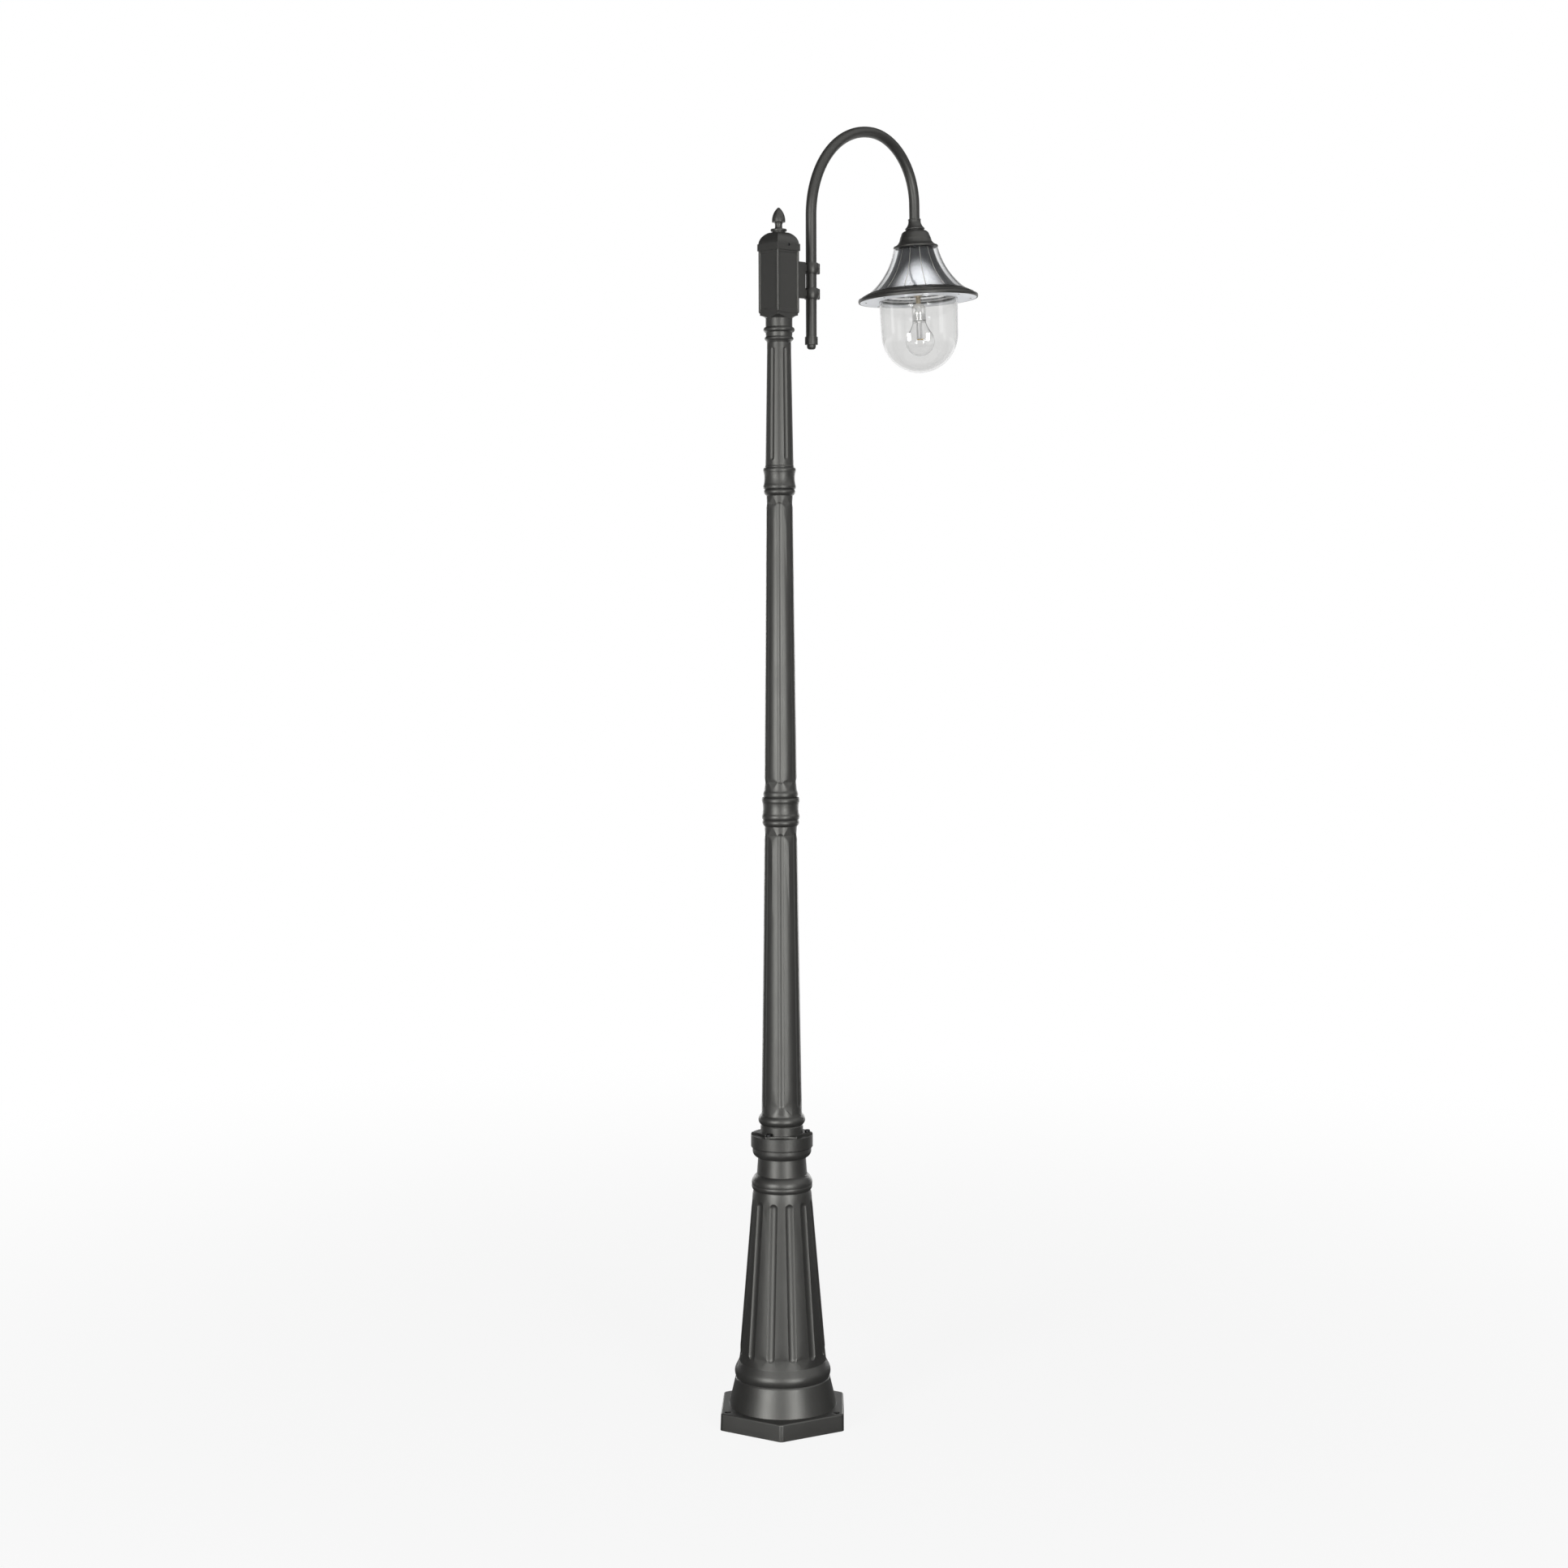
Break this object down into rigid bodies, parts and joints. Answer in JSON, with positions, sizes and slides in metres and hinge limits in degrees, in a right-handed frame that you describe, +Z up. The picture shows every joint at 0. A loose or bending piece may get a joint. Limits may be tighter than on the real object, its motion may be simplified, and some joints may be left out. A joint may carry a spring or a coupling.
{
  "type": "solar lamp post",
  "caption": "Swan-neck garden lamp post: fluted column on a hexagonal bolt-down foot, square head with bracket, arched arm and solar bell lamp with clear jar and bulb.",
  "frame": {"origin": "centre of the foot's underside, on the post's axis, which is also the centre of the anchor hole circle", "axes": "+Z up along the post; +X the way the bracket leaves the head, square to the head's face; +Y completes a right-handed frame"},
  "size_m": [0.6425, 0.27, 2.4986],
  "materials": {
    "anthracite_coat": "satin powder coat with a fine grain",
    "blackened_steel": "dark coated screws",
    "clear_cover": "clear glossy moulding",
    "solar_film": "dark glossy film",
    "carrier_sheet": "bright sheet",
    "pale_plate": "pale silver, satin",
    "bright_steel": "bright",
    "clear_glass": "clear, glossy",
    "black_rubber": "matt",
    "bright_reflector": "mirror bright",
    "battery_wrap": "shrink wrap",
    "board_laminate": "laminate",
    "brass_tube": "bright",
    "white_ceramic": "glazed",
    "bright_shell": "bright nickel",
    "stem_metal": "bright",
    "light_chips": "yellow phosphor"
  },
  "bodies": {
    "root": {"base_casting": "anthracite_coat", "lower_shaft": "anthracite_coat", "mid_sleeve": "anthracite_coat", "upper_shaft": "anthracite_coat", "upper_sleeve": "anthracite_coat", "neck_section": "anthracite_coat", "head_casing": "anthracite_coat", "casing_cap": "anthracite_coat", "finial": "anthracite_coat", "arm_bracket": "anthracite_coat", "arm_tube": "anthracite_coat", "arm_end_plug": "anthracite_coat", "lamp_coupler": "anthracite_coat", "lamp_crown": "anthracite_coat", "rim_ring": "anthracite_coat", "flange_screws": "blackened_steel", "cap_screws": "blackened_steel", "bracket_screws": "blackened_steel", "clamp_screws": "blackened_steel", "coupler_screw": "blackened_steel", "shade_cover": "clear_cover", "solar_strips": "solar_film", "strip_carrier": "carrier_sheet", "underside_plate": "pale_plate", "plate_screws": "bright_steel", "glass_dome": "clear_glass", "glass_gasket": "black_rubber", "reflector": "bright_reflector", "gear_tray": "carrier_sheet", "battery_pack": "battery_wrap", "charge_board": "board_laminate", "tie_tube": "brass_tube", "tie_nuts": "brass_tube", "lampholder_dome": "white_ceramic", "lampholder_shell": "bright_shell", "bulb_cap": "bright_shell", "bulb_glass": "clear_glass", "bulb_stem": "stem_metal", "bulb_led_chips": "light_chips"}
  },
  "joints": []
}
